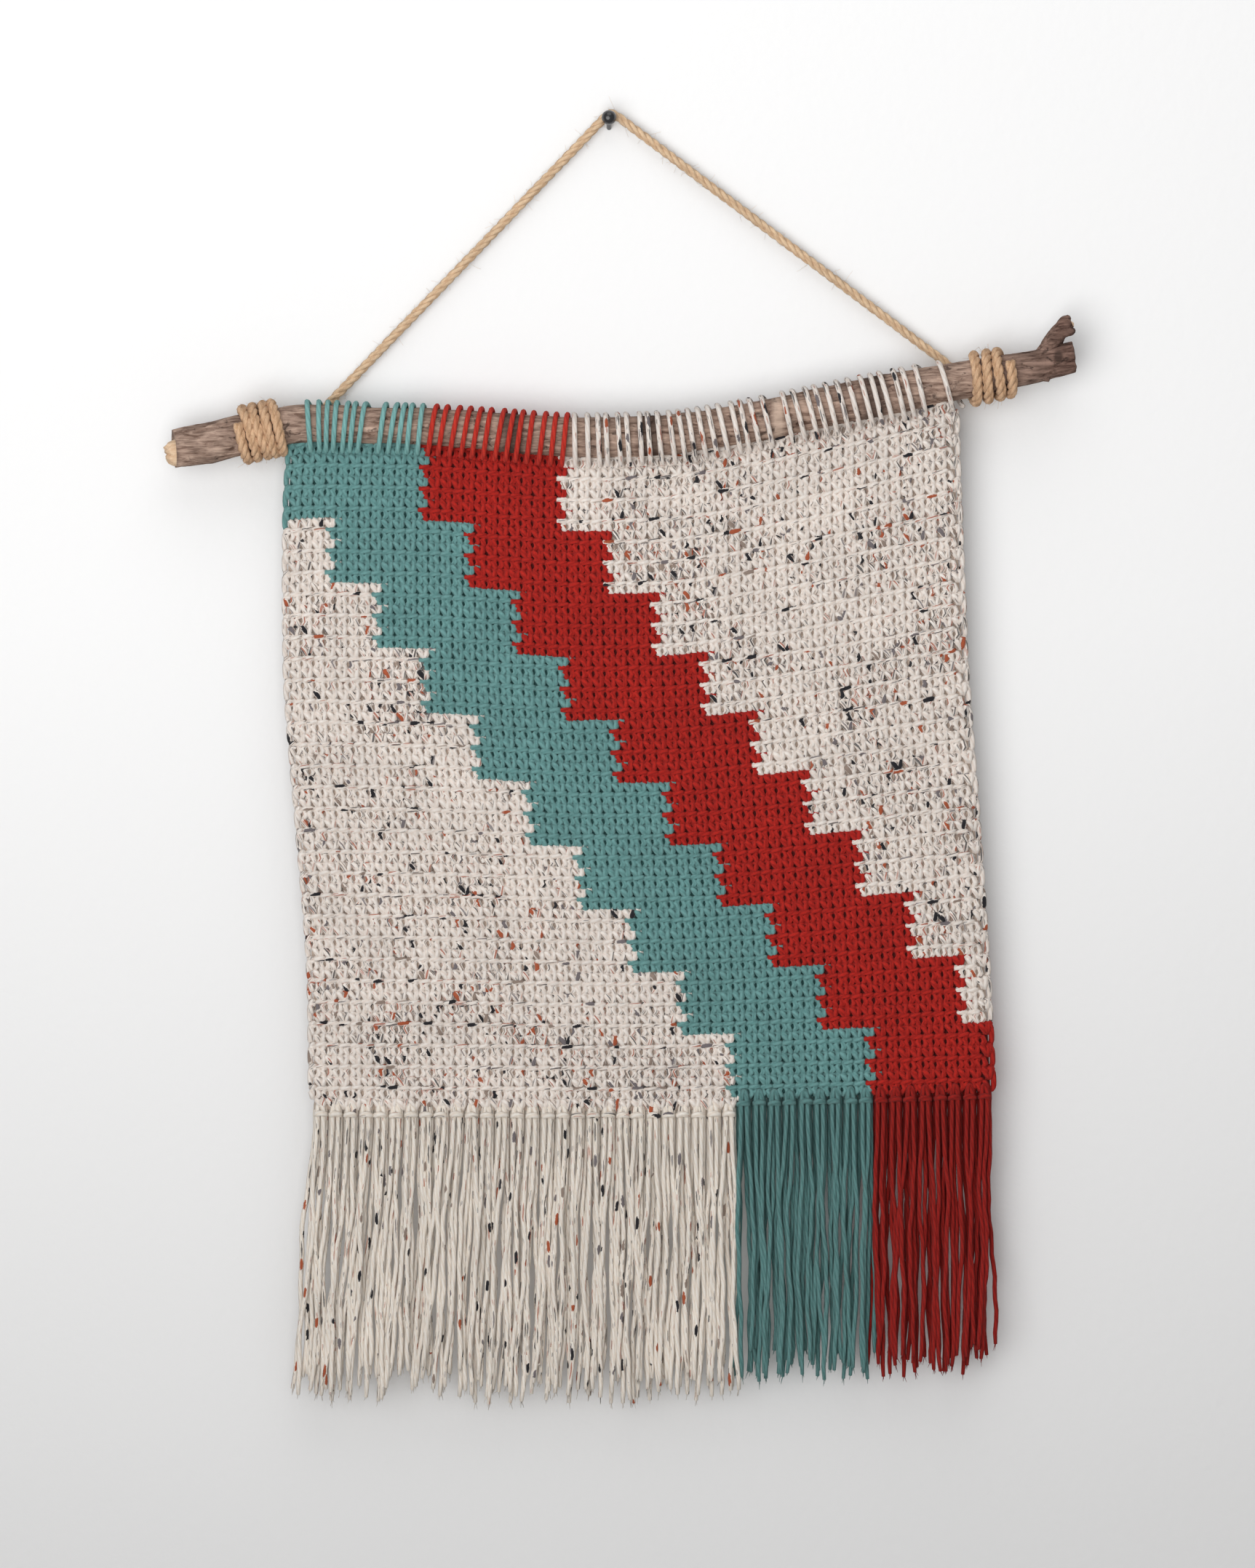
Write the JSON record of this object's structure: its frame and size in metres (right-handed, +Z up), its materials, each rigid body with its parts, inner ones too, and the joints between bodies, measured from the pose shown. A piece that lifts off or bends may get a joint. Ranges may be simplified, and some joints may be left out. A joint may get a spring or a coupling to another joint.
{
  "type": "crochet tapestry with its branch and wall pin",
  "caption": "Square crochet wall hanging with a long knotted fringe, lashed to a rough branch that hangs by a jute cord from a ball-headed pin.",
  "frame": {"origin": "the foot of the wall pin, where it meets the wall", "axes": "+X runs to the right along the wall as the hanging is looked at, +Y points into the wall, +Z is up"},
  "size_m": [0.5254, 0.0399, 0.754],
  "materials": {
    "cream_yarn": "matt spun yarn with dark, rust and grey flecks",
    "teal_yarn": "matt spun yarn",
    "red_yarn": "matt spun yarn",
    "jute": "hairy twisted jute",
    "bark": "dry weathered bark",
    "pin_plastic": "glossy"
  },
  "bodies": {
    "root": {"crochet_panel": "cream_yarn", "fringe_cream": "cream_yarn", "fringe_teal": "teal_yarn", "fringe_red": "red_yarn", "lashing_cream": "cream_yarn", "lashing_teal": "teal_yarn", "lashing_red": "red_yarn", "hanging_cord": "jute", "jute_wrap_left": "jute", "jute_wrap_right": "jute", "branch": "bark", "wall_pin": "pin_plastic"}
  },
  "joints": []
}
